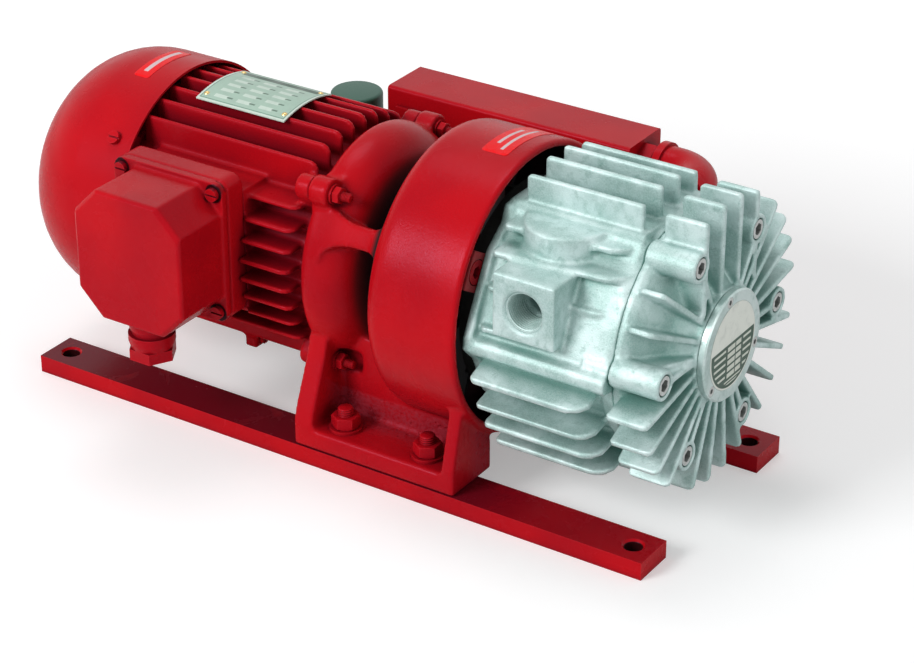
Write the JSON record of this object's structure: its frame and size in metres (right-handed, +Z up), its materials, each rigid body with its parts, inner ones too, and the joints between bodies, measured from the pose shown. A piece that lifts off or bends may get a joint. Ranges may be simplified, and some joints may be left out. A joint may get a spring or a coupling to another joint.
{
  "type": "rotary vane vacuum pump",
  "caption": "Rotary vane vacuum pump with a finned electric motor, bell housing with fan and coupling, finned pump casting, silencer box and base rails.",
  "frame": {"origin": "Centre of the four fixing holes of the base rails, on the underside of the rails.", "axes": "+X runs along the shaft from the motor's fan to the pump's end cover, -Y is the side of the terminal box and of the open port, +Z is up."},
  "size_m": [0.4937, 0.291, 0.2133],
  "materials": {
    "red_paint": "gloss red machine enamel over castings and sheet steel",
    "cast_aluminium": "bare cast aluminium, lightly blasted, with bright worn edges",
    "cast_iron": "ground grey iron",
    "steel": "zinc plated or ground steel",
    "carbon": "matt carbon composite",
    "rubber": "black rubber",
    "copper": "varnished copper wire",
    "brass": "brass",
    "black_plastic": "black moulded plastic",
    "pale_plate": "pale anodised aluminium, bare",
    "green_grey_paint": "satin green-grey enamel"
  },
  "bodies": {
    "frame": {"front_rail": "red_paint", "rear_rail": "red_paint", "bell_housing": "red_paint", "foot_studs": "red_paint", "foot_nuts": "red_paint", "foot_washers": "red_paint", "flange_studs": "red_paint", "flange_nuts": "red_paint", "flange_washers": "red_paint", "stator_housing": "red_paint", "stator_core": "steel", "stator_windings": "copper", "motor_end_shield": "red_paint", "fan_cowl": "red_paint", "cowl_screws": "red_paint", "terminal_box": "red_paint", "terminal_gasket": "rubber", "terminal_cover": "red_paint", "terminal_cover_screws": "red_paint", "terminal_block": "black_plastic", "terminal_studs": "brass", "cable_gland": "red_paint", "nameplate": "pale_plate", "nameplate_rivets": "steel", "earth_screw": "steel", "motor_bearing_outer_rings": "steel", "rear_side_plate": "red_paint", "side_plate_screws": "steel", "shaft_seal": "rubber", "pump_cylinder": "cast_aluminium", "end_cover": "cast_aluminium", "cover_screws": "steel", "pump_bearing_outer_rings": "steel", "bearing_cap": "cast_aluminium", "bearing_cap_screws": "steel", "cap_plate": "pale_plate", "silencer_box": "red_paint", "silencer_bracket": "red_paint", "bracket_screws": "red_paint", "silencer_nipples": "red_paint", "discharge_elbow": "red_paint", "filter_elbow": "red_paint", "exhaust_filter": "green_grey_paint"},
    "spindle": {"motor_shaft": "steel", "rotor_core": "cast_aluminium", "motor_fan": "black_plastic", "motor_bearing_inner_rings": "steel", "motor_bearing_balls": "steel", "motor_coupling_hub": "steel", "coupling_spider": "rubber", "pump_coupling_hub": "steel", "cooling_fan": "black_plastic", "pump_shaft": "steel", "pump_rotor": "cast_iron", "pump_bearing_inner_rings": "steel", "pump_bearing_balls": "steel"},
    "vane_a": {"vane_1": "carbon"},
    "vane_b": {"vane_2": "carbon"},
    "vane_c": {"vane_3": "carbon"},
    "vane_d": {"vane_4": "carbon"}
  },
  "joints": [
    {"name": "spindle_turn", "type": "hinge", "parent": "frame", "child": "spindle", "pos_m": [0, 0, 0.1195], "axis": [1, 0, 0], "continuous": true},
    {"name": "vane_a_slide", "type": "slide", "parent": "spindle", "child": "vane_a", "axis": [0, 0.8988, 0.4384], "range_m": [0, 0.0012]},
    {"name": "vane_b_slide", "type": "slide", "parent": "spindle", "child": "vane_b", "axis": [0, -0.4384, 0.8988], "range_m": [0, 0.0012]},
    {"name": "vane_c_slide", "type": "slide", "parent": "spindle", "child": "vane_c", "axis": [0, -0.8988, -0.4384], "range_m": [0, 0.0012]},
    {"name": "vane_d_slide", "type": "slide", "parent": "spindle", "child": "vane_d", "axis": [0, 0.4384, -0.8988], "range_m": [0, 0.0012]}
  ]
}
